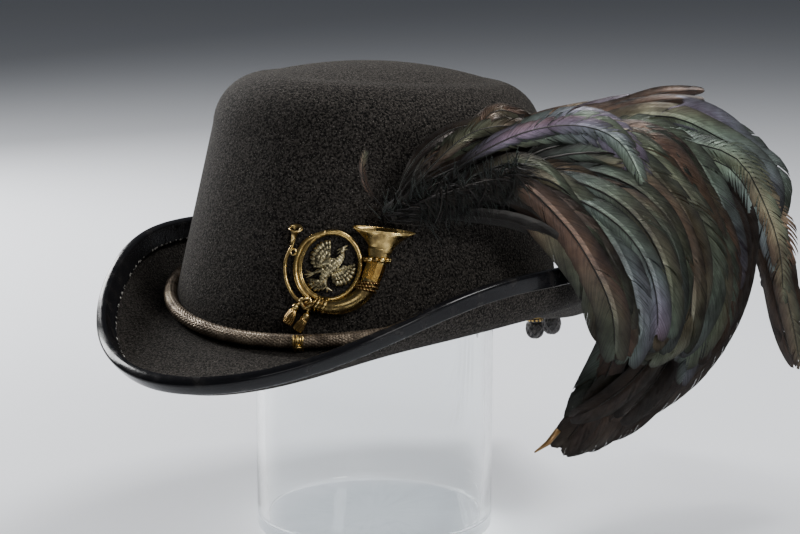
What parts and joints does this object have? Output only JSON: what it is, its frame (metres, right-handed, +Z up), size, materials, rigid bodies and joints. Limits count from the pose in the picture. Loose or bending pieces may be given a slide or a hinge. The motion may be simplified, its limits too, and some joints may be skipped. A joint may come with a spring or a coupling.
{
  "type": "officer parade hat on a glass cylinder stand",
  "caption": "Black felt parade hat with rolled, leather-bound brim, gilt horn badge, metal-thread hat cord and cock-feather plume, resting on a clear glass cylinder",
  "frame": {"origin": "centre of the glass stand's flat underside", "axes": "+Z up, -Y the hat's front, +X the wearer's left, where the badge and the plume are"},
  "size_m": [0.263, 0.3311, 0.2204],
  "materials": {
    "felt": "matt black fur felt with a short brown-grey nap",
    "patent_leather": "glossy black lacquered leather, chipped along its edge",
    "metal_thread": "braided silver-gilt thread, tarnished",
    "gilt": "gilt brass, worn and darkened in the hollows",
    "silver": "cast white metal, tarnished",
    "acorn_thread": "dark netted thread with a gilt collar",
    "feather": "glossy black cock feathers with green, violet and copper sheen",
    "sleeve_leather": "plain black leather",
    "glass": "clear polished glass"
  },
  "bodies": {
    "root": {"felt_body": "felt", "edge_binding": "patent_leather", "hat_cord": "metal_thread", "cord_tie": "gilt", "cord_slide": "metal_thread", "cord_end_right": "metal_thread", "cord_end_left": "metal_thread", "acorn_right": "acorn_thread", "acorn_left": "acorn_thread", "horn_badge": "gilt", "badge_eagle": "silver", "plume": "feather", "plume_sleeve": "sleeve_leather", "glass_stand": "glass"}
  },
  "joints": []
}
